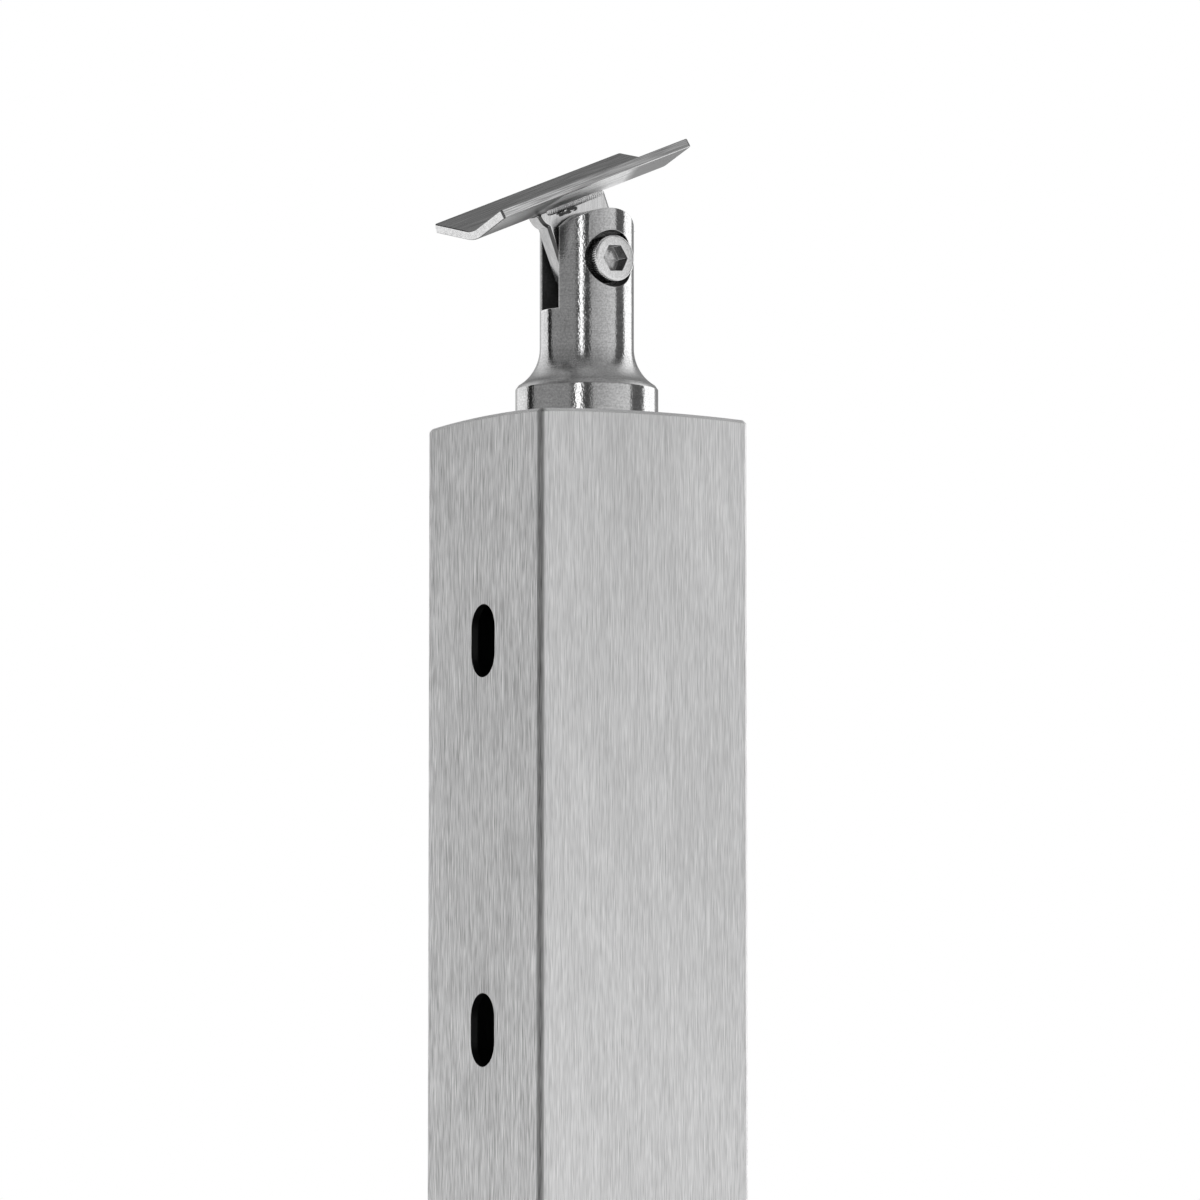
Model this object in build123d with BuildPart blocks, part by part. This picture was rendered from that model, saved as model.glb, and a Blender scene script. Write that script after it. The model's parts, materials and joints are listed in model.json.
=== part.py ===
from build123d import *
import math
import os

# Cable railing post: a square stainless post on a base plate, slotted for the
# cables of a stair railing, with a swivelling fork on its closed top that
# carries a tilting saddle for the handrail.
# Millimetres. The origin is the centre of the base plate's underside, +Z is up,
# the cables and the handrail run along X, and the screw head faces -Y.

# Post
post_top = 851.2
tube_side = 50.8
tube_wall = 1.65
tube_corner = 1.5
tube_inner_corner = 0.5
cap_thick = 4.2
cap_edge = 0.7
crown_radius = 460.0

# Cable slots, one above the other through both X walls
slot_width = 10.3
slot_length = 15.6
slot_pitch = 82.55
top_slot_drop = 48.5

# Base plate and its weld
base_side = 101.6
base_thick = 6.35
base_corner = 6.0
base_edge = 0.6
anchor_spacing = 76.2
anchor_hole_d = 11.1
base_bead_width = 4.5
base_bead_height = 4.0
base_bead_land = 0.45

# Fork, turned and then slotted, heights measured from the post's top
fork_yaw = 5.0
flange_d = 30.8
flange_rim = 6.4
shoulder_height = 7.25
shoulder_d = 29.6
cove_radius = 9.6
barrel_d = 20.3
fork_height = 44.9
ear_radius = 13.5
ear_above_pivot = 10.9
floor_below_pivot = 10.6
fork_slot_edge = 0.2
fork_slot_play = 0.85

# Pivot screw
screw_d = 6.0
screw_length = 14.0
head_d = 10.0
head_height = 6.0
head_edge = 0.5
head_seat = 4.9
socket_across = 5.0
socket_depth = 3.0
socket_turn = 5.0
counterbore_play = 1.1
ear_hole_play = 0.2
thread_play = 0.03
pivot_play = 0.08

# Stud that carries the fork, and the nut under the cap
stud_d = 8.0
stud_in_fork = 12.0
stud_below_nut = 1.0
stud_edge = 0.8
stud_end_gap = 1.0
stud_play = 0.05
cap_hole_play = 0.2
nut_across = 13.0
nut_height = 6.5

# Saddle plate, a shallow trough, and the tongue that stands in the fork
saddle_tilt = 22.1
saddle_length = 52.5
saddle_chord = 25.6
saddle_thick = 2.0
saddle_clearance = 1.57
wing_angle = 15.0
trough_radius = 8.5
saddle_corner = 0.6
saddle_shift = 0.3
tongue_thick = 4.5
tongue_width = 17.2
tongue_shift = 0.4
tongue_edge = 0.6
flare_width = 1.5
flare_radius = 4.0
saddle_bead_width = 1.8
saddle_bead_clearance = 0.37

# Frames of the fork and of the tilted saddle
pivot_height = fork_height - ear_above_pivot
fork_along = Vector(1, 0, 0).rotate(Axis.Z, fork_yaw)
screw_side = Vector(0, -1, 0).rotate(Axis.Z, fork_yaw)
screw_axis = Axis((0, 0, 0), screw_side)
rail_along = fork_along.rotate(screw_axis, saddle_tilt)
pivot_point = (0, 0, post_top + pivot_height)
fork_section = Plane(origin=(0, 0, post_top), x_dir=fork_along, z_dir=screw_side)
fork_end = Plane(origin=(0, 0, post_top), x_dir=screw_side * -1, z_dir=fork_along)
pivot_plane = Plane(origin=pivot_point, x_dir=fork_along, z_dir=screw_side)
tongue_plane = Plane(origin=pivot_point, x_dir=rail_along, z_dir=screw_side)
saddle_section = Plane(origin=pivot_point, x_dir=screw_side * -1, z_dir=rail_along)
saddle_middle = saddle_section.offset(saddle_shift)
tongue_middle = saddle_section.offset(tongue_shift)

os.makedirs("parts", exist_ok=True)


# Post tube with its cable slots
tube_top = post_top - cap_thick
tube_length = tube_top - base_thick
top_slot = post_top - top_slot_drop
slot_run = top_slot - base_thick - slot_length
slot_levels = int(slot_run // slot_pitch) + 1
slot_heights = [top_slot - level * slot_pitch for level in range(slot_levels)]

with BuildPart() as post_tube:
    with BuildSketch(Plane.XY.offset(base_thick)):
        RectangleRounded(tube_side, tube_side, tube_corner)
        tube_bore = tube_side - 2 * tube_wall
        RectangleRounded(tube_bore, tube_bore, tube_inner_corner, mode=Mode.SUBTRACT)
    extrude(amount=tube_length)
    with BuildSketch(Plane.YZ):
        with Locations([(0, height) for height in slot_heights]):
            SlotOverall(slot_length, slot_width, rotation=90)
    extrude(amount=tube_side, both=True, mode=Mode.SUBTRACT)

post_tube.part.label = "post_tube"
export_step(post_tube.part, "parts/post_tube.step")


# Cap plate, welded on and ground flush, its top crowned round the fork's flat seat
crown_drop = math.sqrt(crown_radius**2 - (flange_d / 2) ** 2)

with BuildPart() as cap_plate:
    with BuildSketch(Plane.XY.offset(tube_top)):
        RectangleRounded(tube_side, tube_side, tube_corner)
        Circle(stud_d / 2 + cap_hole_play, mode=Mode.SUBTRACT)
    extrude(amount=cap_thick)
    with Locations((0, 0, post_top - crown_drop)):
        Sphere(crown_radius, mode=Mode.INTERSECT)
    crown = cap_plate.faces().filter_by(GeomType.SPHERE)[0]
    chamfer(crown.outer_wire().edges(), cap_edge)

cap_plate.part.label = "cap_plate"
export_step(cap_plate.part, "parts/cap_plate.step")


# Nut welded under the cap plate
with BuildPart() as cap_nut:
    with BuildSketch(Plane.XY.offset(tube_top)):
        RegularPolygon(nut_across / 2, 6, major_radius=False)
        Circle(stud_d / 2 + thread_play, mode=Mode.SUBTRACT)
    extrude(amount=-nut_height)

cap_nut.part.label = "cap_nut"
export_step(cap_nut.part, "parts/cap_nut.step")


# Stud through the cap plate into the fork
stud_bottom = tube_top - nut_height - stud_below_nut
stud_length = post_top + stud_in_fork - stud_bottom

with BuildPart() as fork_stud:
    with BuildSketch(Plane.XY.offset(stud_bottom)):
        Circle(stud_d / 2)
    extrude(amount=stud_length)
    chamfer(fork_stud.edges(), stud_edge)

fork_stud.part.label = "fork_stud"
export_step(fork_stud.part, "parts/fork_stud.step")


# Base plate with four anchor holes
with BuildPart() as base_plate:
    with BuildSketch():
        RectangleRounded(base_side, base_side, base_corner)
        with GridLocations(anchor_spacing, anchor_spacing, 2, 2):
            Circle(anchor_hole_d / 2, mode=Mode.SUBTRACT)
    extrude(amount=base_thick)
    top_face = base_plate.faces().sort_by(Axis.Z)[-1]
    chamfer(top_face.outer_wire().edges(), base_edge)

base_plate.part.label = "base_plate"
export_step(base_plate.part, "parts/base_plate.step")


# Weld bead round the foot of the tube, with a small land at its top
bead_side = tube_side + 2 * base_bead_width
bead_corner = tube_corner + base_bead_width
bead_rise = base_bead_width - base_bead_land
bead_slope = math.degrees(math.atan(bead_rise / base_bead_height))

with BuildPart() as base_weld:
    with BuildSketch(Plane.XY.offset(base_thick)):
        RectangleRounded(bead_side, bead_side, bead_corner)
    extrude(amount=base_bead_height, taper=bead_slope)
    with BuildSketch(Plane.XY.offset(base_thick)):
        RectangleRounded(tube_side, tube_side, tube_corner)
    extrude(amount=base_bead_height, mode=Mode.SUBTRACT)

base_weld.part.label = "base_weld"
export_step(base_weld.part, "parts/base_weld.step")


# Fork: flange, cove and barrel in one turning, then the slot and the cross bore
flange_r = flange_d / 2
shoulder_r = shoulder_d / 2
barrel_r = barrel_d / 2
cove_centre_r = barrel_r + cove_radius
cove_drop = math.sqrt(cove_radius**2 - (cove_centre_r - shoulder_r) ** 2)
cove_top = shoulder_height + cove_drop
cove_sweep = math.degrees(math.asin(cove_drop / cove_radius))
fork_gap = tongue_thick + 2 * fork_slot_play
ear_centre = fork_height - ear_radius
counterbore_d = head_d + 2 * counterbore_play

with BuildPart() as fork:
    with BuildSketch(fork_section):
        with BuildLine():
            Polyline((barrel_r, cove_top), (barrel_r, fork_height), (0, fork_height), (0, 0),
                     (flange_r, 0), (flange_r, flange_rim), (shoulder_r, shoulder_height))
            CenterArc((cove_centre_r, cove_top), cove_radius, 180, cove_sweep)
        make_face()
    revolve(axis=Axis.Z)
    # Ear tops, rounded about an axis parallel to the pivot
    with BuildSketch(fork_section):
        with Locations((0, ear_centre)):
            Rectangle(2 * flange_d, 2 * ear_radius, align=(Align.CENTER, Align.MIN))
            Circle(ear_radius, mode=Mode.SUBTRACT)
    extrude(amount=flange_d, both=True, mode=Mode.SUBTRACT)
    # Slot for the tongue, open at both ends
    with BuildSketch(fork_end):
        with Locations((0, pivot_height - floor_below_pivot)):
            Rectangle(fork_gap, fork_height, align=(Align.CENTER, Align.MIN))
    extrude(amount=flange_d, both=True, mode=Mode.SUBTRACT)
    mouth_edges = []
    for wall in fork.faces().filter_by(screw_axis):
        mouth_edges += wall.outer_wire().edges().sort_by(Axis.Z)[1:]
    chamfer(mouth_edges, fork_slot_edge)
    # Bore for the screw, with its counterbore on the screw side
    with BuildSketch(pivot_plane.offset(head_seat)):
        Circle(counterbore_d / 2)
    extrude(amount=flange_d, mode=Mode.SUBTRACT)
    with BuildSketch(pivot_plane):
        Circle(screw_d / 2 + ear_hole_play)
    extrude(amount=head_seat, mode=Mode.SUBTRACT)
    with BuildSketch(pivot_plane):
        Circle(screw_d / 2 + thread_play)
    extrude(amount=-flange_d, mode=Mode.SUBTRACT)
    # Blind bore for the stud
    with BuildSketch(Plane.XY.offset(post_top)):
        Circle(stud_d / 2 + stud_play)
    extrude(amount=stud_in_fork + stud_end_gap, mode=Mode.SUBTRACT)

fork.part.label = "fork"
export_step(fork.part, "parts/fork.step")


# Socket head screw that clamps the tongue between the ears
with BuildPart() as pivot_screw:
    with BuildSketch(pivot_plane.offset(head_seat)):
        Circle(head_d / 2)
    extrude(amount=head_height)
    head_rim = pivot_screw.faces().sort_by(screw_axis)[-1]
    chamfer(head_rim.edges(), head_edge)
    with BuildSketch(pivot_plane.offset(head_seat)):
        Circle(screw_d / 2)
    extrude(amount=-screw_length)
    with BuildSketch(pivot_plane.offset(head_seat + head_height)):
        RegularPolygon(socket_across / 2, 6, major_radius=False, rotation=socket_turn)
    extrude(amount=-socket_depth, mode=Mode.SUBTRACT)

pivot_screw.part.label = "pivot_screw"
export_step(pivot_screw.part, "parts/pivot_screw.step")


# Saddle plate, bent along the rail into a shallow trough
ear_corner = ear_centre + math.sqrt(ear_radius**2 - barrel_r**2) - pivot_height
ear_reach = math.hypot(barrel_r, ear_corner)
saddle_foot = ear_reach + saddle_clearance
trough_lift = trough_radius / math.cos(math.radians(wing_angle)) - trough_radius
trough_line = saddle_foot + saddle_thick - trough_lift
saddle_rise = trough_line + saddle_chord / 2 * math.tan(math.radians(wing_angle))

with BuildPart() as saddle_plate:
    with BuildSketch(saddle_middle):
        with BuildLine():
            FilletPolyline((-saddle_chord / 2, saddle_rise), (0, trough_line),
                           (saddle_chord / 2, saddle_rise), radius=trough_radius)
            offset(amount=saddle_thick, side=Side.RIGHT)
        make_face()
    extrude(amount=saddle_length / 2, both=True)
    corners = saddle_plate.edges().filter_by(GeomType.LINE)
    corners = corners.sort_by(SortBy.LENGTH)[:4]
    fillet(corners, saddle_corner)

saddle_plate.part.label = "saddle_plate"
export_step(saddle_plate.part, "parts/saddle_plate.step")


# Tongue, flared under the saddle's lower end and rounded about the screw below
tongue_half = tongue_width / 2
tongue_top = saddle_foot + saddle_thick
flare_drop = math.sqrt(flare_radius**2 - (flare_radius - flare_width) ** 2)

with BuildPart() as tongue:
    with BuildSketch(tongue_plane):
        with Locations((tongue_shift, 0)):
            Rectangle(tongue_width, tongue_top, align=(Align.CENTER, Align.MIN))
            Circle(tongue_half)
        lower_side = tongue_shift - tongue_half
        with BuildLine():
            RadiusArc((lower_side, saddle_foot - flare_drop), (lower_side - flare_width, saddle_foot),
                      flare_radius)
            Polyline((lower_side - flare_width, saddle_foot), (lower_side - flare_width, tongue_top),
                     (lower_side, tongue_top), (lower_side, saddle_foot - flare_drop))
        make_face()
    extrude(amount=tongue_thick / 2, both=True)
    flat_faces = tongue.faces().filter_by(screw_axis)
    chamfer(flat_faces.edges(), tongue_edge)
    with BuildSketch(tongue_plane):
        Circle(screw_d / 2 + pivot_play)
    extrude(amount=tongue_thick, both=True, mode=Mode.SUBTRACT)
    add(saddle_plate.part, mode=Mode.SUBTRACT)

tongue.part.label = "tongue"
export_step(tongue.part, "parts/tongue.step")


# Weld beads along both faces of the tongue
with BuildPart() as saddle_weld:
    with BuildSketch(tongue_middle):
        for side in (-1, 1):
            root = side * tongue_thick / 2
            toe = root + side * saddle_bead_width
            with BuildLine():
                Polyline((root, ear_reach + saddle_bead_clearance), (toe, saddle_foot),
                         (toe, tongue_top), (root, tongue_top), close=True)
            make_face()
    extrude(amount=tongue_half - tongue_edge, both=True)
    add(saddle_plate.part, mode=Mode.SUBTRACT)

saddle_weld.part.label = "saddle_weld"
export_step(saddle_weld.part, "parts/saddle_weld.step")
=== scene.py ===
import bpy
import bmesh
import json
import math
from mathutils import Matrix, Vector


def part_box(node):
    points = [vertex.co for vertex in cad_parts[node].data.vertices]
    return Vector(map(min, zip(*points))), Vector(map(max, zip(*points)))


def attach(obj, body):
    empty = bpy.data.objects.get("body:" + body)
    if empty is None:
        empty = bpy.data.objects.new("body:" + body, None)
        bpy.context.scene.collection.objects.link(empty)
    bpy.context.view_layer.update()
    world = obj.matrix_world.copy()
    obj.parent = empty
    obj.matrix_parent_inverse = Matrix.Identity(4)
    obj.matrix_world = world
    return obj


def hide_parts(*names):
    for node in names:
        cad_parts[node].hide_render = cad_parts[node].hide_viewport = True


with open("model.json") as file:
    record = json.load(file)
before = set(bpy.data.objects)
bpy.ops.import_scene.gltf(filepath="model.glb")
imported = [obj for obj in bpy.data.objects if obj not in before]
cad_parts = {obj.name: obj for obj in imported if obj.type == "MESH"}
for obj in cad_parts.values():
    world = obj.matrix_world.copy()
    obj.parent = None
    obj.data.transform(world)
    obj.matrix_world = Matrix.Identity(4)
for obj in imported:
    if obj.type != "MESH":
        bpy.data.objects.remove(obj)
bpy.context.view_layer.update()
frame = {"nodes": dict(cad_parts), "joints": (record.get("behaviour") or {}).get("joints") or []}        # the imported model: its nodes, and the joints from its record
nodes = frame["nodes"]
print("frame loaded with", len(nodes), "nodes")

# the bracket's own directions: the screw is the axis on which the saddle tilts
tiltJoint = [joint for joint in frame["joints"] if joint["name"] == "saddle_tilt"][0]
saddleTilt = math.radians(22.1)
wingAngle = math.radians(15)
pivot = Vector(tiltJoint["pos_m"])
upward = Vector((0, 0, 1))
screwSide = Vector(tiltJoint["axis"]).normalized()
forkAlong = upward.cross(screwSide)
railAlong = forkAlong * math.cos(saddleTilt) + upward * math.sin(saddleTilt)
railUp = upward * math.cos(saddleTilt) - forkAlong * math.sin(saddleTilt)
railAxes = (railAlong, -screwSide, railUp)

# faces of the post that its finish and its weld go by
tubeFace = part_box("post_tube")[1].x
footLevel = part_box("base_plate")[1].z
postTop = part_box("cap_plate")[1].z


# small helpers for node trees

def newMaterial(name):
    material = bpy.data.materials.new(name)
    material.use_nodes = True
    tree = material.node_tree
    tree.nodes.clear()
    return material, tree


def addNode(tree, kind, inputs=None, **settings):
    node = tree.nodes.new(kind)
    for key, value in settings.items():
        setattr(node, key, value)
    for key, value in (inputs or {}).items():
        socket = node.inputs[key]
        if isinstance(value, bpy.types.NodeSocket):
            tree.links.new(value, socket)
        else:
            socket.default_value = value
    return node


def mathNode(tree, operation, a, b=0.0):
    return addNode(tree, "ShaderNodeMath", {0: a, 1: b}, operation=operation).outputs[0]


def product(tree, first, *others):
    for other in others:
        first = mathNode(tree, "MULTIPLY", first, other)
    return first


def ranged(tree, value, low, high, fromLow=0.0, fromHigh=1.0, **settings):
    # low up to fromLow, high from fromHigh on, and even between them
    inputs = {"Value": value, "From Min": fromLow, "From Max": fromHigh, "To Min": low, "To Max": high}
    return addNode(tree, "ShaderNodeMapRange", inputs, **settings).outputs["Result"]


def rising(tree, value, fromLow, fromHigh, **settings):
    return ranged(tree, value, 0.0, 1.0, fromLow, fromHigh, **settings)


def falling(tree, value, fromLow, fromHigh):
    return ranged(tree, value, 1.0, 0.0, fromLow, fromHigh)


def ramp(tree, value, stops):
    # level by value, in straight lines between the stops
    low, high = stops[0][0], stops[-1][0]
    node = addNode(tree, "ShaderNodeValToRGB", {"Fac": rising(tree, value, low, high)})
    elements = node.color_ramp.elements
    while len(elements) < len(stops):
        elements.new(0.5)
    for element, (place, level) in zip(elements, stops):
        element.position = (place - low) / (high - low)
        element.color = (level, level, level, 1)
    return node.outputs["Color"]


def blend(tree, mask, a, b):
    return addNode(tree, "ShaderNodeMix", {0: mask, 2: a, 3: b}).outputs[0]


def dotted(tree, vector, direction):
    node = addNode(tree, "ShaderNodeVectorMath", {0: vector, 1: direction}, operation="DOT_PRODUCT")
    return node.outputs["Value"]


def facing(tree, direction):
    # how far the surface faces a direction of the object's own space
    normal = addNode(tree, "ShaderNodeTexCoord").outputs["Normal"]
    return dotted(tree, normal, direction)


def objectCoords(tree, axes=None):
    # the object's own space, turned so that its x, y and z are the three given directions
    coords = addNode(tree, "ShaderNodeTexCoord").outputs["Object"]
    if axes is None:
        return coords
    turn = Matrix(axes).to_euler("XYZ")
    return addNode(tree, "ShaderNodeMapping", {"Vector": coords, "Rotation": turn}).outputs["Vector"]


def fromPivot(tree, *directions):
    # metres from the pivot along each of the directions
    inputs = {0: objectCoords(tree), 1: pivot}
    moved = addNode(tree, "ShaderNodeVectorMath", inputs, operation="SUBTRACT").outputs["Vector"]
    return [dotted(tree, moved, direction) for direction in directions]


def noise(tree, coords, scale, detail=2.0, rough=0.5):
    # scale is in cells per metre along x, y and z
    stretched = addNode(tree, "ShaderNodeMapping", {"Vector": coords, "Scale": scale})
    texture = addNode(tree, "ShaderNodeTexNoise", {"Vector": stretched.outputs["Vector"], "Scale": 1.0,
                                                   "Detail": detail, "Roughness": rough})
    return texture.outputs["Fac"]


def evenNoise(tree, coords, cells, detail=2.0, rough=0.5):
    return noise(tree, coords, (cells, cells, cells), detail, rough)


def varied(tree, base, *parts):
    # base level, changed by each noise's share about its middle
    total = None
    for fac, share in parts:
        part = ranged(tree, fac, -share, share)
        total = part if total is None else mathNode(tree, "ADD", total, part)
    return product(tree, mathNode(tree, "ADD", total, 1.0), base)


steelTint = 1.003        # blue over red, a trace cooler than grey
brushDepth = 0.00002     # metres, how deep the marks of a belt look


def steelShader(tree, grey, roughness, bumpHeight, bumpDepth=brushDepth, strength=0.5, **extra):
    # extra gives further inputs of the shader by their names
    colour = addNode(tree, "ShaderNodeCombineColor",
                     {"Red": grey, "Green": grey, "Blue": product(tree, grey, steelTint)})
    bump = addNode(tree, "ShaderNodeBump",
                   {"Strength": strength, "Distance": bumpDepth, "Height": bumpHeight})
    inputs = {"Base Color": colour.outputs["Color"], "Metallic": 1.0, "Roughness": roughness,
              "Normal": bump.outputs["Normal"], **extra}
    shader = addNode(tree, "ShaderNodeBsdfPrincipled", inputs)
    addNode(tree, "ShaderNodeOutputMaterial", {"Surface": shader.outputs["BSDF"]})


# finishes: marks, clouds and grit are noises in cells per metre, and their shares say how much they show

postFinish = {
    # the levels for the tube's inside, two of its rounded corners and its slotted sides are painted shade
    "grey": 0.765, "roughness": 0.40, "anisotropy": 0.75, "insideShade": 0.06, "corner": 0.48, "crown": 0.74,
    "slottedShade": 0.83, "slottedGrain": 2.3,
    "shortMarks": (9500, 9500, 260), "longMarks": (8000, 8000, 80), "longShare": 0.45, "grain": 0.84,
    "broadMarks": (900, 900, 40), "broadShare": 0.10, "clouds": (60, 60, 14), "cloudShare": 0.14,
    "crownMarks": (120, 4200, 4200), "crownGrain": 0.6, "fineRough": 0.25, "broadRough": 0.2,
    # metres in from the tube's faces, or down from the post's top, between which a mask goes over
    "sideCorner": (0.0009, 0.0006), "frontCorner": (0.0021, 0.0019), "skin": (0.0014, 0.0011),
    "crownDepth": (0.0032, 0.0027),
    # how squarely a face has to look up, or along x, to be the crown's or a slot's wall
    "crownFacing": (0.90, 0.96), "wallFacing": (0.3, 0.5),
    # to either side of zero, where the finish of one side goes over into the next one's
    "split": 0.0001,
}


def insetFrom(face, depths):
    return [face - depth for depth in depths]


def brushedPost(name):
    # upright brushing on the tube, with painted shade on its inside, its slot walls, its slotted sides and
    # two of its corners
    material, tree = newMaterial(name)
    finish = postFinish
    coords = objectCoords(tree)
    short = noise(tree, coords, finish["shortMarks"], 1.0)
    long = noise(tree, coords, finish["longMarks"], 1.0)
    fine = blend(tree, finish["longShare"], short, long)
    broad = noise(tree, coords, finish["broadMarks"])
    clouds = noise(tree, coords, finish["clouds"])
    place = addNode(tree, "ShaderNodeSeparateXYZ", {"Vector": coords}).outputs
    sideways = mathNode(tree, "ABSOLUTE", place["X"])
    deep = mathNode(tree, "ABSOLUTE", place["Y"])
    # the two slotted sides are brushed more coarsely, and darkened by a painted shade
    slotted = rising(tree, mathNode(tree, "SUBTRACT", sideways, deep), -finish["split"], finish["split"])
    grain = product(tree, ranged(tree, slotted, 1.0, finish["slottedGrain"]),
                    ranged(tree, fine, -finish["grain"], finish["grain"]))
    grey = varied(tree, finish["grey"], (broad, finish["broadShare"]), (clouds, finish["cloudShare"]))
    grey = product(tree, grey, mathNode(tree, "ADD", grain, 1.0),
                   ranged(tree, slotted, 1.0, finish["slottedShade"]))
    # what lies deeper than the tube's skin gets a painted shade, as its dark inside
    reach = mathNode(tree, "MAXIMUM", sideways, deep)
    skin = ranged(tree, reach, finish["insideShade"], 1.0, *insetFrom(tubeFace, finish["skin"]))
    grey = product(tree, grey, skin)
    # the walls of the cable slots get the same painted shade
    outward = mathNode(tree, "ABSOLUTE", facing(tree, Vector((1, 0, 0))))
    slotWallShade = product(tree, slotted, falling(tree, outward, *finish["wallFacing"]))
    grey = blend(tree, slotWallShade, grey, finish["insideShade"])
    # two of the rounded corners get a painted shade, which keeps them darker
    unshadedCorners = falling(tree, product(tree, place["X"], place["Y"]), -finish["split"], finish["split"])
    besideX = ranged(tree, sideways, 1.0, finish["corner"], *insetFrom(tubeFace, finish["sideCorner"]))
    besideY = ranged(tree, deep, 1.0, finish["corner"], *insetFrom(tubeFace, finish["frontCorner"]))
    corner = mathNode(tree, "MAXIMUM", mathNode(tree, "MAXIMUM", besideX, besideY), unshadedCorners)
    grey = product(tree, grey, corner)
    # the crown on top is brushed straight across
    lengthwise = noise(tree, coords, finish["crownMarks"])
    crown = mathNode(tree, "MINIMUM", rising(tree, facing(tree, upward), *finish["crownFacing"]),
                     rising(tree, place["Z"], *insetFrom(postTop, finish["crownDepth"])))
    grey = blend(tree, crown, grey, varied(tree, finish["crown"], (lengthwise, finish["crownGrain"]),
                                           (broad, finish["broadShare"])))
    rough = varied(tree, finish["roughness"], (fine, finish["fineRough"]), (broad, finish["broadRough"]))
    tangent = addNode(tree, "ShaderNodeTangent", direction_type="RADIAL", axis="Z").outputs["Tangent"]
    steelShader(tree, grey, rough, fine, Anisotropic=finish["anisotropy"], Tangent=tangent)
    return material


plateFinish = {"grey": 0.66, "roughness": 0.34, "fineMarks": (160, 4300, 4300), "fineShare": 0.7,
               "broadMarks": (35, 800, 800), "broadShare": 0.14, "fineRough": 0.3, "broadRough": 0.2}


def brushedPlate(name):
    # straight brushing along x
    material, tree = newMaterial(name)
    finish = plateFinish
    coords = objectCoords(tree)
    fine = noise(tree, coords, finish["fineMarks"], rough=0.55)
    broad = noise(tree, coords, finish["broadMarks"])
    grey = varied(tree, finish["grey"], (fine, finish["fineShare"]), (broad, finish["broadShare"]))
    rough = varied(tree, finish["roughness"], (fine, finish["fineRough"]), (broad, finish["broadRough"]))
    steelShader(tree, grey, rough, fine)
    return material


saddleFinish = {
    # the broken corners' level is a painted shade and the sawn ends' level a painted highlight
    "grey": 0.66, "roughness": 0.20, "underRoughness": 0.42, "corner": 0.18, "end": 1.28,
    "fineMarks": (130, 5200, 5200), "fineShare": 0.95, "broadMarks": (30, 900, 900), "broadShare": 0.30,
    "fineRough": 0.35, "broadRough": 0.2, "sawMarks": 2600, "sawShare": 0.45,
    # share of light on the underside, by metres along the rail from the pivot, in two slanted bands
    "underLeft": [(-0.0306, 0.52), (-0.0200, 0.42), (-0.0165, 0.26), (-0.0142, 0.26), (-0.0124, 1.0)],
    "underRight": [(0.0146, 1.0), (0.0158, 0.62), (0.0175, 0.30), (0.0300, 0.27)],
    "leftSlant": -0.3, "rightSlant": 0.42,
    # share of light by metres out from the blade, which evens out towards the rail's upper end
    "byOffset": [(0.0, 0.32), (0.0035, 0.42), (0.0065, 0.85), (0.0090, 1.3), (0.0130, 1.5)],
    "evenLevel": 1.3, "evenFrom": (0.003, 0.009),
    # share of light along the near side's narrow face and the lower edge of that face
    "strip": [(-0.026, 1.20), (-0.014, 1.0), (0.0, 0.80), (0.026, 0.66)],
    "lowEdge": [(-0.026, 0.6), (-0.018, 0.2), (-0.004, 0.2), (0.004, 1.5), (0.026, 1.5)],
    "lowEdgeAngle": 30,
    # how squarely a surface has to face a direction for each of them
    "underFacing": (-0.85, -0.6), "stripFacing": (0.90, 0.97), "lowEdgeFacing": (0.80, 0.90),
    "cornerFacing": (0.20, 0.35), "endFacing": (0.90, 0.97),
}


def railSteel(name):
    # brushed along the rail and rougher under the plate, with painted reflections and shade under it, along
    # the near side's narrow face and at the ends
    material, tree = newMaterial(name)
    finish = saddleFinish
    coords = objectCoords(tree, railAxes)
    fine = noise(tree, coords, finish["fineMarks"])
    broad = noise(tree, coords, finish["broadMarks"])
    along, across = fromPivot(tree, railAlong, screwSide)

    def slanted(slant):
        return mathNode(tree, "ADD", along, product(tree, across, slant))

    def turnedTo(direction, limits):
        return rising(tree, facing(tree, direction), *limits)

    # painted reflections and shade under the plate, on the near side's narrow face and along its lower edge
    outwardly = blend(tree, rising(tree, along, *finish["evenFrom"]),
                      ramp(tree, mathNode(tree, "ABSOLUTE", across), finish["byOffset"]), finish["evenLevel"])
    under = product(tree, outwardly, ramp(tree, slanted(finish["leftSlant"]), finish["underLeft"]),
                    ramp(tree, slanted(finish["rightSlant"]), finish["underRight"]))
    below = falling(tree, facing(tree, railUp), *finish["underFacing"])
    shade = blend(tree, below, 1.0, under)
    narrowFace = screwSide * math.cos(wingAngle) + railUp * math.sin(wingAngle)
    shade = blend(tree, turnedTo(narrowFace, finish["stripFacing"]), shade,
                  ramp(tree, along, finish["strip"]))
    tipped = math.radians(finish["lowEdgeAngle"])
    lowEdge = screwSide * math.cos(tipped) - railUp * math.sin(tipped)
    shade = blend(tree, turnedTo(lowEdge, finish["lowEdgeFacing"]), shade,
                  ramp(tree, along, finish["lowEdge"]))
    # the two ends are sawn, with a painted highlight on their faces and a painted shade on the broken corners
    # round them
    endWise = mathNode(tree, "ABSOLUTE", facing(tree, railAlong))
    sawn = evenNoise(tree, objectCoords(tree), finish["sawMarks"], rough=0.6)
    shade = blend(tree, rising(tree, endWise, *finish["cornerFacing"]), shade, finish["corner"])
    shade = blend(tree, rising(tree, endWise, *finish["endFacing"]), shade,
                  varied(tree, finish["end"], (sawn, finish["sawShare"])))
    grey = varied(tree, finish["grey"], (fine, finish["fineShare"]), (broad, finish["broadShare"]))
    grey = mathNode(tree, "MINIMUM", product(tree, grey, shade), 1.0)
    rough = varied(tree, blend(tree, below, finish["roughness"], finish["underRoughness"]),
                   (fine, finish["fineRough"]), (broad, finish["broadRough"]))
    steelShader(tree, grey, rough, fine)
    return material


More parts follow.
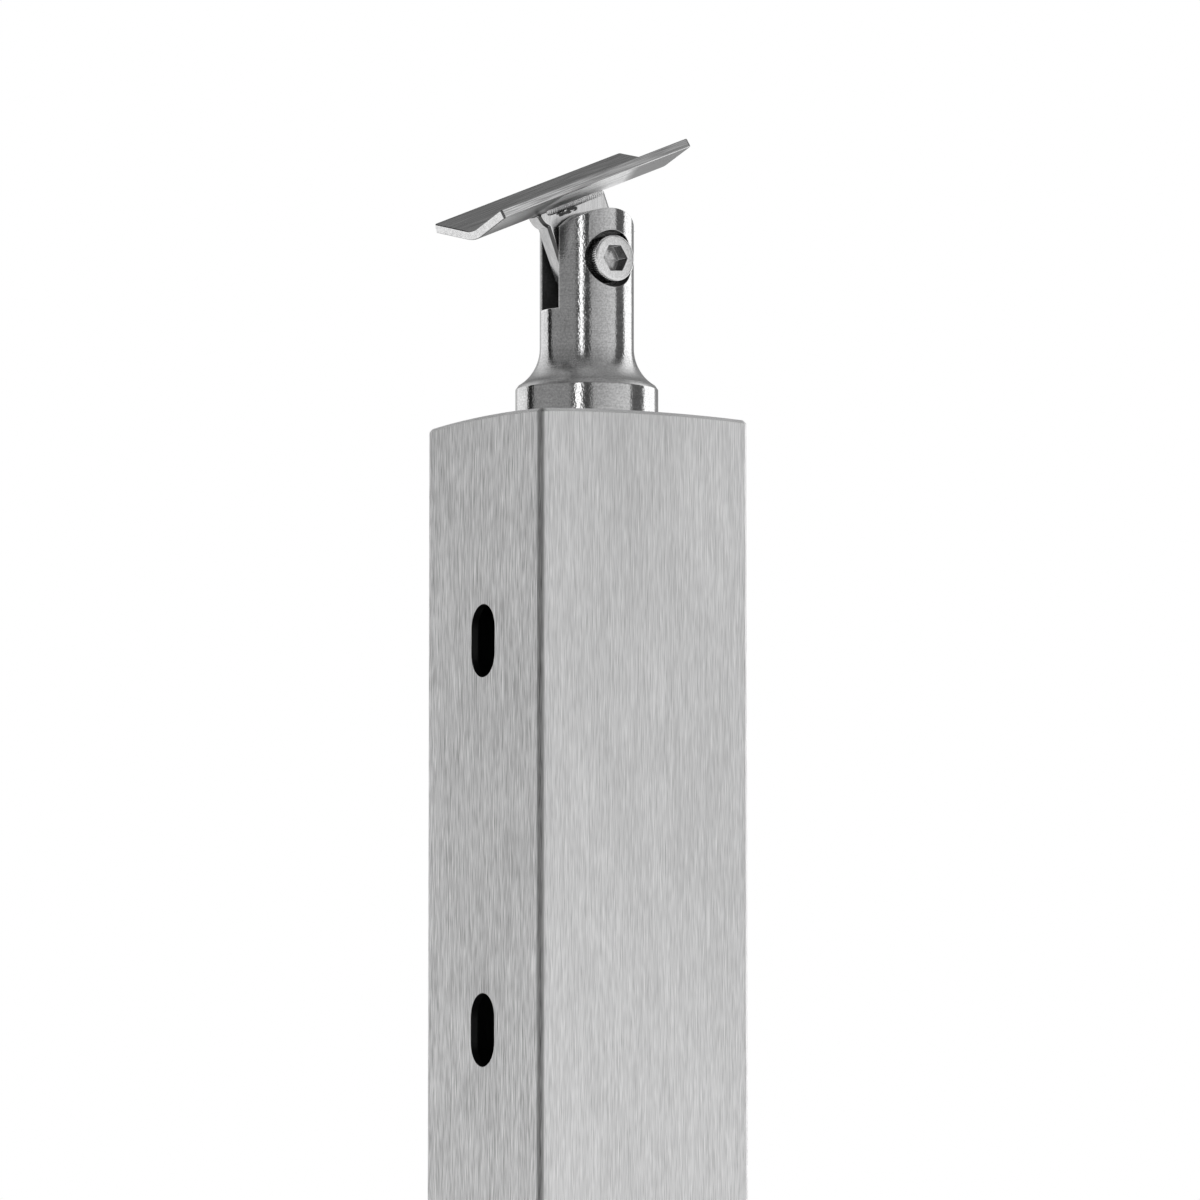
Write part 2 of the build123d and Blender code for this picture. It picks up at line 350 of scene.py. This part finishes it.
bladeFinish = {
    "grey": 0.66, "roughness": 0.20, "fineMarks": (130, 5200, 5200), "fineShare": 0.3,
    "broadMarks": (30, 900, 900), "broadShare": 0.30, "fineRough": 0.35, "broadRough": 0.2,
    # share of light by how squarely the surface faces the screw's side: ends, broken edges, flat sides
    "bySide": [(0.0, 0.85), (0.2, 0.85), (0.45, 0.15), (0.9, 0.15), (0.97, 1.12), (1.0, 1.12)],
    # where a painted shadow lies in the undercut below the bead, by metres from the pivot
    "shadowAlong": [(-0.0065, 0.0), (-0.0045, 1.0), (-0.0002, 1.0), (0.0018, 0.0)],
    "shadowHeight": [(0.0112, 0.0), (0.0119, 1.0), (0.0127, 1.0), (0.0132, 0.5)],
    "shadowPatches": (700, 2600, 2600), "shadowFrom": (0.36, 0.44), "shadowLevel": 0.08,
}


def shadedBlade(name):
    # painted shade in the broken edges round the blade, a painted highlight on its sides, and a painted
    # shadow in the undercut below the bead
    material, tree = newMaterial(name)
    finish = bladeFinish
    coords = objectCoords(tree, (upward, screwSide, forkAlong))
    fine = noise(tree, coords, finish["fineMarks"])
    broad = noise(tree, coords, finish["broadMarks"])
    side = mathNode(tree, "ABSOLUTE", facing(tree, screwSide))
    along, height = fromPivot(tree, railAlong, railUp)
    patches = noise(tree, objectCoords(tree, railAxes), finish["shadowPatches"], rough=0.6)
    # a painted shadow in patches below the bead
    beadShadow = product(tree, ramp(tree, along, finish["shadowAlong"]),
                      ramp(tree, height, finish["shadowHeight"]), patches)
    grey = varied(tree, finish["grey"], (fine, finish["fineShare"]), (broad, finish["broadShare"]))
    # painted shade in the broken edges and a painted highlight on the flat sides, by the ramp
    grey = product(tree, grey, ramp(tree, side, finish["bySide"]),
                   ranged(tree, beadShadow, 1.0, finish["shadowLevel"], *finish["shadowFrom"]))
    rough = varied(tree, finish["roughness"], (fine, finish["fineRough"]), (broad, finish["broadRough"]))
    steelShader(tree, grey, rough, fine)
    return material


# lathe marks run round the upright axis, with a fine grit over them
lathe = {"marks": (90, 90, 5200), "grit": 2300, "blotch": 260, "blotchShare": 0.12, "marksRough": 0.3,
         "blotchRough": 0.35, "marksInBump": 0.5}

forkFinish = {
    "grey": 0.58, "roughness": 0.12, "marksShare": 0.20, "gritShare": 0.36, "bump": 0.00005,
    # levels of painted shade in the bores and between the ears, and of a painted highlight at the slot's
    # mouths
    "bore": 0.30, "slot": 0.15, "mouthHighlight": 1.4, "slotRoughness": 0.6, "coveRoughness": 0.34,
    # metres from the screw's axis, aside from the slot's middle, and above the pivot
    "boreRadius": (0.00611, 0.00614), "slotHalf": (0.00312, 0.00316), "slotFloor": (-0.01058, -0.01055),
    "highlightAside": (0.0034, 0.0037), "highlightAbove": (-0.0112, -0.0106),
    "coveFacing": (0.25, 0.65),
}

nutFinish = {"grey": 0.55, "roughness": 0.3, "marksShare": 0.12, "gritShare": 0.2, "bump": 0.00003}


def screwSpace(tree):
    # distance from the screw's axis, place along it, and height above it
    along, across, height = fromPivot(tree, screwSide, forkAlong, upward)
    squares = mathNode(tree, "ADD", product(tree, across, across), product(tree, height, height))
    return mathNode(tree, "SQRT", squares), along, height


def forkRecesses(tree, finish, grey, rough):
    # painted shade in the screw's bores and between the ears, and a painted highlight at the slot's mouths
    radius, along, height = screwSpace(tree)
    aside = mathNode(tree, "ABSOLUTE", along)
    bore = ranged(tree, radius, finish["bore"], 1.0, *finish["boreRadius"])
    between = mathNode(tree, "MAXIMUM", ranged(tree, aside, finish["slot"], 1.0, *finish["slotHalf"]),
                       ranged(tree, height, 1.0, finish["slot"], *finish["slotFloor"]))
    # the slot's mouths get a painted highlight
    mouthHighlight = mathNode(tree, "MINIMUM", ranged(tree, aside, finish["mouthHighlight"], 1.0, *finish["highlightAside"]),
                    ranged(tree, height, 1.0, finish["mouthHighlight"], *finish["highlightAbove"]))
    # the polish is weaker in the cove, which faces up
    cove = rising(tree, facing(tree, upward), *finish["coveFacing"])
    rough = blend(tree, cove, rough, finish["coveRoughness"])
    rough = mathNode(tree, "MINIMUM", mathNode(tree, "DIVIDE", rough, between), finish["slotRoughness"])
    return product(tree, grey, bore, between, mouthHighlight), rough


def turnedSteel(name, finish, recesses=None):
    material, tree = newMaterial(name)
    coords = objectCoords(tree)
    marks = noise(tree, coords, lathe["marks"], rough=0.6)
    grit = evenNoise(tree, coords, lathe["grit"], detail=1.0)
    blotch = evenNoise(tree, coords, lathe["blotch"], detail=3.0, rough=0.6)
    grey = varied(tree, finish["grey"], (marks, finish["marksShare"]), (grit, finish["gritShare"]),
                  (blotch, lathe["blotchShare"]))
    rough = varied(tree, finish["roughness"], (marks, lathe["marksRough"]), (blotch, lathe["blotchRough"]))
    if recesses:
        grey, rough = recesses(tree, finish, grey, rough)
    both = mathNode(tree, "ADD", product(tree, marks, lathe["marksInBump"]), grit)
    steelShader(tree, grey, rough, both, finish["bump"])
    return material


screwFinish = {
    "grey": 0.80, "roughness": 0.24, "socketWallShade": 0.20, "socketFloorShade": 0.72,
    "rings": (4200, 4200, 1), "ringShare": 0.12, "grit": 3000, "gritShare": 0.36,
    "blotch": 500, "blotchShare": 0.14, "ringRough": 0.25, "blotchRough": 0.3, "strength": 0.35,
    # metres from the screw's axis, and along it from the pivot
    "socketRadius": (0.00305, 0.00310), "socketMouth": (0.01080, 0.01086), "floorAt": (0.00785, 0.0079),
}


def screwSteel(name):
    # faced steel with rings about the screw's own axis, and a painted shade down the socket
    material, tree = newMaterial(name)
    finish = screwFinish
    coords = objectCoords(tree)
    radius, along = screwSpace(tree)[:2]
    ringCoords = addNode(tree, "ShaderNodeCombineXYZ", {"X": radius, "Y": along, "Z": 0.0}).outputs["Vector"]
    rings = noise(tree, ringCoords, finish["rings"], rough=0.6)
    grit = evenNoise(tree, coords, finish["grit"], rough=0.6)
    blotch = evenNoise(tree, coords, finish["blotch"])
    grey = varied(tree, finish["grey"], (rings, finish["ringShare"]), (grit, finish["gritShare"]),
                  (blotch, finish["blotchShare"]))
    # painted shade down the hex socket, darker on its walls than on its floor
    outside = mathNode(tree, "MAXIMUM", rising(tree, radius, *finish["socketRadius"]),
                       rising(tree, along, *finish["socketMouth"]))
    socket = ranged(tree, along, finish["socketFloorShade"], finish["socketWallShade"], *finish["floorAt"])
    grey = product(tree, grey, mathNode(tree, "MAXIMUM", outside, socket))
    rough = varied(tree, finish["roughness"], (rings, finish["ringRough"]), (blotch, finish["blotchRough"]))
    steelShader(tree, grey, rough, mathNode(tree, "ADD", rings, grit), strength=finish["strength"])
    return material


weldFinish = {"grey": 0.60, "roughness": 0.27, "lumps": 900, "lumpShare": 0.5, "lumpRough": 0.5,
              "grit": 4200, "gritShare": 0.4, "gritRough": 0.3, "gritInBump": 0.4, "bump": 0.00008,
              "strength": 0.6}


def weldSteel(name):
    # frozen metal: bright crests, duller and slightly pitted between the ripples
    material, tree = newMaterial(name)
    finish = weldFinish
    coords = objectCoords(tree)
    lumps = evenNoise(tree, coords, finish["lumps"], detail=4.0, rough=0.65)
    grit = evenNoise(tree, coords, finish["grit"], detail=3.0, rough=0.7)
    grey = varied(tree, finish["grey"], (lumps, finish["lumpShare"]), (grit, finish["gritShare"]))
    rough = varied(tree, finish["roughness"], (lumps, finish["lumpRough"]), (grit, finish["gritRough"]))
    height = mathNode(tree, "ADD", lumps, product(tree, grit, finish["gritInBump"]))
    steelShader(tree, grey, rough, height, finish["bump"], finish["strength"])
    return material


studFinish = {"grey": 0.6, "roughness": 0.3, "pitch": 0.00125, "depthShare": 0.6, "grooveShare": 0.25,
              "grit": 2500, "gritShare": 0.2, "gritRough": 0.3}


def threadedSteel(name):
    # machined steel with a thread about the upright axis
    material, tree = newMaterial(name)
    finish = studFinish
    coords = objectCoords(tree)
    place = addNode(tree, "ShaderNodeSeparateXYZ", {"Vector": coords}).outputs
    turn = mathNode(tree, "DIVIDE", mathNode(tree, "ARCTAN2", place["Y"], place["X"]), 2 * math.pi)
    lead = mathNode(tree, "SUBTRACT", mathNode(tree, "DIVIDE", place["Z"], finish["pitch"]), turn)
    groove = mathNode(tree, "PINGPONG", lead, 0.5)
    grit = evenNoise(tree, coords, finish["grit"], detail=3.0, rough=0.6)
    grey = varied(tree, finish["grey"], (grit, finish["gritShare"]),
                  (product(tree, groove, 2.0), finish["grooveShare"]))
    rough = varied(tree, finish["roughness"], (grit, finish["gritRough"]))
    steelShader(tree, grey, rough, groove, finish["pitch"] * finish["depthShare"], strength=1.0)
    return material


def dress(node, material):
    mesh = nodes[node].data
    if not mesh.materials:
        mesh.materials.append(material)
    for index in range(len(mesh.materials)):
        mesh.materials[index] = material


postSteel = brushedPost("postSteel")
basePlateSteel = brushedPlate("basePlateSteel")
saddleSteel = railSteel("saddleSteel")
bladeSteel = shadedBlade("bladeSteel")
forkSteel = turnedSteel("forkSteel", forkFinish, forkRecesses)
screwMetal = screwSteel("screwMetal")
weldMetal = weldSteel("weldMetal")
studSteel = threadedSteel("studSteel")
nutSteel = turnedSteel("nutSteel", nutFinish)
print("finishes ready")


# pieces that keep the model's shape and get worked edges

def shadeByAngle(mesh, degrees):
    # smooth everywhere, with the edges sharper than this kept crisp
    limit = math.radians(degrees)
    bm = bmesh.new()
    bm.from_mesh(mesh)
    for face in bm.faces:
        face.smooth = True
    for edge in bm.edges:
        edge.smooth = len(edge.link_faces) == 2 and edge.calc_face_angle(0) < limit
    bm.to_mesh(mesh)
    bm.free()


def placePiece(name, mesh, material):
    mesh.materials.clear()
    mesh.materials.append(material)
    piece = bpy.data.objects.new(name, mesh)
    bpy.context.scene.collection.objects.link(piece)
    return piece


def softEdged(name, node, body, material, width, segments=2, angle=32):
    # the node's own shape as clean faces, its edges broken by a small rounding
    mesh = bpy.data.meshes.new(name)
    bm = bmesh.new()
    bm.from_mesh(nodes[node].data)
    bmesh.ops.remove_doubles(bm, verts=bm.verts, dist=1e-7)
    bmesh.ops.dissolve_limit(bm, angle_limit=math.radians(0.4), verts=bm.verts, edges=bm.edges)
    bm.to_mesh(mesh)
    bm.free()
    piece = placePiece(name, mesh, material)
    shadeByAngle(mesh, angle)
    rounding = piece.modifiers.new("rounding", "BEVEL")
    rounding.width = width
    rounding.segments = segments
    rounding.limit_method = "ANGLE"
    rounding.angle_limit = math.radians(angle)
    rounding.use_clamp_overlap = False
    rounding.harden_normals = True
    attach(piece, body)
    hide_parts(node)
    return piece


softEdged("forkTurned", "fork", "bracket", forkSteel, width=0.00012, segments=3, angle=25)
softEdged("saddleTrough", "saddle_plate", "saddle", saddleSteel, width=0.00024)
softEdged("tongueBlade", "tongue", "saddle", bladeSteel, width=0.00020)
softEdged("footPlate", "base_plate", "post", basePlateSteel, width=0.00015)
for node in ("post_tube", "cap_plate"):
    dress(node, postSteel)
dress("fork_stud", studSteel)
dress("cap_nut", nutSteel)
print("worked edges done")


# own meshes

def meshPiece(name, rings, material, body, replaced, angle=30):
    # closed rings of points, one after the other; a ring of one point closes an end
    bm = bmesh.new()
    made = [[bm.verts.new(point) for point in ring] for ring in rings]
    for first, second in zip(made, made[1:]):
        for k in range(max(len(first), len(second))):
            corners = []
            for ring, index in ((first, k), (first, k + 1), (second, k + 1), (second, k)):
                vert = ring[index % len(ring)]
                if vert not in corners:
                    corners.append(vert)
            bm.faces.new(corners)
    bmesh.ops.recalc_face_normals(bm, faces=bm.faces)
    mesh = bpy.data.meshes.new(name)
    bm.to_mesh(mesh)
    bm.free()
    shadeByAngle(mesh, angle)
    piece = placePiece(name, mesh, material)
    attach(piece, body)
    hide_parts(replaced)
    return piece


screw = {
    # metres along the screw's axis from the pivot, positive towards its head
    "faceAt": 0.0109, "knurlTo": 0.0103, "knurlFrom": 0.0053, "seatAt": 0.0049, "threadFrom": 0.0037,
    "threadTo": -0.0085, "tipAt": -0.0091,
    "headRadius": 0.0050, "faceRadius": 0.0045, "seatRadius": 0.0046, "shankRadius": 0.0030,
    "tipRadius": 0.0023,
    "ridges": 60, "ridgeDepth": 0.00016, "ridgeEnd": 0.0001, "faceLip": 0.00006, "rimSteps": 6,
    "socketAcross": 0.0054, "socketEdge": 0.00009, "socketDepth": 0.0031, "socketTurn": 4.0,
    "drillDepth": 0.0005, "drillShare": 0.55, "drillLip": 0.00006,
    "pitch": 0.0010, "threadDepth": 0.0004, "neck": 0.0004, "threadRows": 130, "fadeRows": 8, "steps": 360,
}


def screwPoint(radius, angle, along):
    outward = forkAlong * math.cos(angle) + upward * math.sin(angle)
    return pivot + outward * radius + screwSide * along


def screwRing(radius, along):
    # radius is a length or a function of the angle
    steps = screw["steps"]
    angles = [2 * math.pi * k / steps for k in range(steps)]
    return [screwPoint(radius(angle) if callable(radius) else radius, angle, along) for angle in angles]


def hexRadius(angle):
    local = (math.degrees(angle) - screw["socketTurn"]) % 60 - 30
    return screw["socketAcross"] / 2 / math.cos(math.radians(local))


def sawtooth(turns):
    # 1 at whole turns and 0 half way between them
    return abs(turns % 1 - 0.5) * 2


def knurlRadius(angle):
    return screw["headRadius"] - screw["ridgeDepth"] * sawtooth(angle / (2 * math.pi) * screw["ridges"])


def screwHead():
    # from the middle of the socket's floor out over the face, round the rim and down the knurl
    head, face, faceAt = screw["headRadius"], screw["faceRadius"], screw["faceAt"]
    floorAt, edge = faceAt - screw["socketDepth"], screw["socketEdge"]
    low, ridgeEnd = head - screw["ridgeDepth"], screw["ridgeEnd"]
    rings = [[screwPoint(0, 0, floorAt - screw["drillDepth"])]]
    rings.append(screwRing(lambda angle: screw["drillShare"] * hexRadius(angle), floorAt - screw["drillLip"]))
    for along in (floorAt, (floorAt + faceAt) / 2, faceAt - edge):
        rings.append(screwRing(hexRadius, along))
    rings.append(screwRing(lambda angle: hexRadius(angle) + edge, faceAt))
    rings.append(screwRing(face - screw["faceLip"], faceAt))
    rim = head - face
    for k in range(1, screw["rimSteps"]):
        turn = math.pi / 2 * k / screw["rimSteps"]
        rings.append(screwRing(face + rim * math.sin(turn), faceAt - rim * (1 - math.cos(turn))))
    knurlFrom, knurlTo = screw["knurlFrom"], screw["knurlTo"]
    rings.append(screwRing(low, knurlTo))
    for along in (knurlTo - ridgeEnd, (knurlFrom + knurlTo) / 2, knurlFrom + ridgeEnd):
        rings.append(screwRing(knurlRadius, along))
    rings.append(screwRing(low, knurlFrom))
    rings.append(screwRing(screw["seatRadius"], screw["seatAt"]))
    return rings


def screwShank():
    # from the seat down the thread to the tip
    radius, top, bottom = screw["shankRadius"], screw["threadFrom"], screw["threadTo"]
    rings = [screwRing(radius, screw["seatAt"]), screwRing(radius, top + screw["neck"])]
    for row in range(screw["threadRows"] + 1):
        along = top + (bottom - top) * row / screw["threadRows"]
        depth = screw["threadDepth"] * min(1.0, row / screw["fadeRows"])

        def threadRadius(angle, along=along, depth=depth):
            return radius - depth * sawtooth(along / screw["pitch"] + angle / (2 * math.pi))
        rings.append(screwRing(threadRadius, along))
    rings.append(screwRing(screw["tipRadius"], screw["tipAt"]))
    rings.append([screwPoint(0, 0, screw["tipAt"])])
    return rings


def buildScrew():
    rings = screwHead() + screwShank()
    return meshPiece("pivotScrewKnurled", rings, screwMetal, "bracket", "pivot_screw")


buildScrew()
print("screw done")


# weld beads: a row of frozen ripples laid along a line

beadShape = {
    # share, number and start of the waves in the bead's thickness, and how far a ripple bows
    "waves": [(0.08, 17, 1.3), (0.05, 41, 0.0)], "bow": 0.56,
    # a free end is this share as large, reached the more suddenly the higher the power
    "endShare": 0.35, "endPower": 16,
}


def beadRings(stations, bead, closed):
    # stations: a point at the bead's inner corner, its rise, its reach outward and its step into the metal
    rings = []
    last = len(stations) if closed else len(stations) - 1
    for k, (corner, rise, out, inward) in enumerate(stations):
        travel = k / last
        wander = 1 + sum(part * math.sin(count * travel * math.pi + start)
                         for part, count, start in beadShape["waves"])
        end = 1.0 if closed else math.sqrt(1 - (2 * travel - 1) ** beadShape["endPower"])
        size = beadShape["endShare"] + (1 - beadShape["endShare"]) * end
        middle = (rise + out).normalized()
        ring = []
        for j in range(bead["across"] + 1):
            # half a rounded hump from one toe to the other
            share = j / bead["across"]
            hump = math.sin(math.pi * share)
            phase = (travel * bead["ripples"] + beadShape["bow"] * (share - 0.5) ** 2) % 1.0
            ripple = bead["rippleHeight"] * (1 - (2 * phase - 1) ** 2) * hump
            flat = (rise * (1 - share) + out * share) * size
            ring.append(corner + flat + middle * (bead["bulge"] * hump * wander + ripple) * end)
        ring.append(corner - inward)
        rings.append(ring)
    return rings


saddleBead = {
    "width": 0.00085, "drop": 0.00115, "halfLength": 0.0080, "overlap": 0.0003, "capShare": 0.15,
    # the bead's inner corner, in metres from the pivot
    "shift": 0.0004, "aside": 0.0022, "above": 0.01376,
    "ripples": 29, "bulge": 0.00014, "rippleHeight": 0.00010, "steps": 320, "across": 14,
}


def buildSaddleBead(name, side):
    # side is 1 on the screw's side and -1 on the far side of the blade
    bead = saddleBead
    normal = screwSide * side
    rise = -railUp * bead["drop"]
    out = (normal * math.cos(wingAngle) + railUp * math.sin(wingAngle)) * bead["width"]
    inward = (normal - railUp) * bead["overlap"]
    middle = pivot + railAlong * bead["shift"] + normal * bead["aside"] + railUp * bead["above"]
    travels = [(k / bead["steps"] * 2 - 1) * bead["halfLength"] for k in range(bead["steps"] + 1)]
    stations = [(middle + railAlong * travel, rise, out, inward) for travel in travels]
    first, last = [[stations[k][0] + (rise + out) * bead["capShare"]] for k in (0, -1)]
    rings = [first] + beadRings(stations, bead, closed=False) + [last]
    return meshPiece(name, rings, weldMetal, "saddle", "saddle_weld", angle=60)


buildSaddleBead("saddleBeadNear", 1)
buildSaddleBead("saddleBeadFar", -1)

footBead = {"leg": 0.0045, "height": 0.0040, "hollow": 0.0003, "overlap": 0.0004, "cornerRadius": 0.0015,
            "bulge": 0.00035, "ripples": 118, "rippleHeight": 0.00022, "stepsPerSide": 300, "across": 10}


def footPath():
    # once round the tube's foot, with the outward direction at each point
    points = []
    radius, perSide = footBead["cornerRadius"], footBead["stepsPerSide"]
    centre = Vector((tubeFace - radius, tubeFace - radius, footLevel))
    straight = 2 * (tubeFace - radius)
    arc = math.pi / 2 * (radius + footBead["leg"] / 2)
    arcSteps = int(perSide * arc / straight)
    for quarter in range(4):
        turn = Matrix.Rotation(math.pi / 2 * quarter, 3, "Z")
        for k in range(perSide):
            beside = Vector((tubeFace, straight * (k / perSide - 0.5), footLevel))
            points.append((turn @ beside, turn @ Vector((1, 0, 0))))
        for k in range(arcSteps):
            angle = math.pi / 2 * k / arcSteps
            heading = Vector((math.cos(angle), math.sin(angle), 0))
            points.append((turn @ (centre + heading * radius), turn @ heading))
    return points


def buildFootBead():
    # the bead lies within its legs by as much as it bulges
    bead = footBead
    rise = upward * (bead["height"] - bead["hollow"])
    stations = [(point, rise, heading * (bead["leg"] - bead["hollow"]), (heading + upward) * bead["overlap"])
                for point, heading in footPath()]
    rings = beadRings(stations, bead, closed=True)
    return meshPiece("footBead", rings + [rings[0]], weldMetal, "post", "base_weld", angle=60)


buildFootBead()
print("welds done")


# studio: panels round the object, as the photograph's reflections show them

studio = {
    # degrees, the direction from the object to the camera
    "front": -120.0,
    # degrees to the camera's right, level of the light that comes from there
    "low": [(-180, 1.0), (-176, 1.0), (-172, 0.5), (-153, 0.6), (-150, 1.1), (-112, 1.05), (-110, 0.0),
            (-97, 0.02), (-95, 0.33), (-26, 0.32), (-24, 0.1), (-18, 0.1), (-16, 2.1), (-9.5, 2.1),
            (-7.5, 0.08), (7, 0.08), (9, 0.45), (75, 0.86), (77, 0.12), (105, 0.14), (107, 1.7),
            (141, 1.7), (144, 0.3), (175, 0.3), (178, 1.0), (180, 1.0)],
    # the same above the panels' upper ends
    "high": [(-180, 0.18), (-120, 0.14), (-60, 0.14), (0, 0.22), (45, 0.36), (100, 0.36), (150, 0.22),
             (180, 0.18)],
    # height in degrees at which the panels end, and over how many degrees they fade out
    "ends": [(-180, 7), (-160, 7), (-145, 42), (-21, 42), (-17, 25), (-8.5, 25), (-5, 42), (140, 42),
             (155, 7), (180, 7)],
    "softness": 20.0,
    # the panels are brighter towards their foot
    "fade": [(-5, 1.30), (8, 1.0), (21, 0.85), (32, 0.76), (44, 0.66), (56, 0.59), (68, 0.53), (90, 0.5)],
    # level straight above, and the heights in degrees between which it takes over
    "overhead": 0.22, "overheadFrom": (70.0, 88.0),
    # strength of the even white light on all that isn't a reflection
    "plain": 1.0,
}


def whiteLight(tree, strength):
    return addNode(tree, "ShaderNodeBackground", {"Color": (1, 1, 1, 1), "Strength": strength}).outputs[0]


def mixColours(tree, mask, a, b):
    return addNode(tree, "ShaderNodeMix", {"Factor": mask, 6: a, 7: b}, data_type="RGBA").outputs[2]


def studioWorld():
    # only reflections see the panels: the picture's ground and the even light are plain white
    world = bpy.data.worlds.new("studio")
    bpy.context.scene.world = world
    world.use_nodes = True
    tree = world.node_tree
    tree.nodes.clear()
    coords = addNode(tree, "ShaderNodeTexCoord").outputs["Generated"]
    axes = addNode(tree, "ShaderNodeSeparateXYZ", {"Vector": coords}).outputs
    azimuth = mathNode(tree, "ARCTAN2", axes["Y"], axes["X"])
    # 0 at the direction towards the camera, growing to the camera's right
    turned = mathNode(tree, "ADD", azimuth, math.radians(180 - studio["front"]))
    wrapped = mathNode(tree, "FRACT", mathNode(tree, "DIVIDE", turned, 2 * math.pi))
    heading = ranged(tree, wrapped, -180.0, 180.0)
    height = mathNode(tree, "DEGREES", mathNode(tree, "ARCSINE", axes["Z"]))
    fading = {0: ramp(tree, heading, studio["low"]), 1: ramp(tree, height, studio["fade"])}
    low = addNode(tree, "ShaderNodeVectorMath", fading, operation="MULTIPLY").outputs["Vector"]
    high = ramp(tree, heading, studio["high"])
    # the ends are held as shares of a right angle
    shares = [(place, level / 90) for place, level in studio["ends"]]
    over = mathNode(tree, "SUBTRACT", height, mathNode(tree, "MULTIPLY", ramp(tree, heading, shares), 90.0))
    raised = rising(tree, over, 0.0, studio["softness"], interpolation_type="SMOOTHSTEP")
    above = rising(tree, height, *studio["overheadFrom"], interpolation_type="SMOOTHSTEP")
    walls = mixColours(tree, raised, low, high)
    panels = mixColours(tree, above, walls, (studio["overhead"], studio["overhead"], studio["overhead"], 1))
    glossy = addNode(tree, "ShaderNodeBackground", {"Color": panels, "Strength": 1.0}).outputs[0]
    rays = addNode(tree, "ShaderNodeLightPath").outputs
    even, ground = whiteLight(tree, studio["plain"]), whiteLight(tree, 1.0)
    lit = addNode(tree, "ShaderNodeMixShader", {0: rays["Is Glossy Ray"], 1: even, 2: glossy}).outputs[0]
    seen = addNode(tree, "ShaderNodeMixShader", {0: rays["Is Camera Ray"], 1: lit, 2: ground}).outputs[0]
    addNode(tree, "ShaderNodeOutputWorld", {"Surface": seen})


studioWorld()


# camera: metres from the post's axis and above the floor, degrees, and millimetres of lens

camera = {"distance": 1.2781, "yaw": 29.888, "height": 0.7129, "aside": 0.00285, "pitch": 4.449,
          "lens": 179.03, "sensor": 36}


def setCamera():
    data = bpy.data.cameras.new("camera")
    data.lens = camera["lens"]
    data.sensor_width = camera["sensor"]
    eye = bpy.data.objects.new("camera", data)
    bpy.context.scene.collection.objects.link(eye)
    yaw = math.radians(camera["yaw"])
    forward = Vector((math.sin(yaw), math.cos(yaw), 0))
    right = Vector((math.cos(yaw), -math.sin(yaw), 0))
    eye.location = right * camera["aside"] - forward * camera["distance"] + upward * camera["height"]
    eye.rotation_euler = (math.radians(90 + camera["pitch"]), 0, -yaw)
    bpy.context.scene.camera = eye


setCamera()


# floor

floorPlane = {"reach": 6, "grey": 0.86, "roughness": 0.75}


def layFloor():
    reach, grey = floorPlane["reach"], floorPlane["grey"]
    mesh = bpy.data.meshes.new("floor")
    mesh.from_pydata([(-reach, -reach, 0), (reach, -reach, 0), (reach, reach, 0), (-reach, reach, 0)], [],
                     [(0, 1, 2, 3)])
    floor = bpy.data.objects.new("floor", mesh)
    bpy.context.scene.collection.objects.link(floor)
    paint, tree = newMaterial("floorPaint")
    shader = addNode(tree, "ShaderNodeBsdfPrincipled", {"Base Color": (grey, grey, grey, 1),
                                                        "Roughness": floorPlane["roughness"]})
    addNode(tree, "ShaderNodeOutputMaterial", {"Surface": shader.outputs[0]})
    mesh.materials.append(paint)


layFloor()
print("studio and camera ready")

bpy.context.scene.view_settings.view_transform = "Standard"
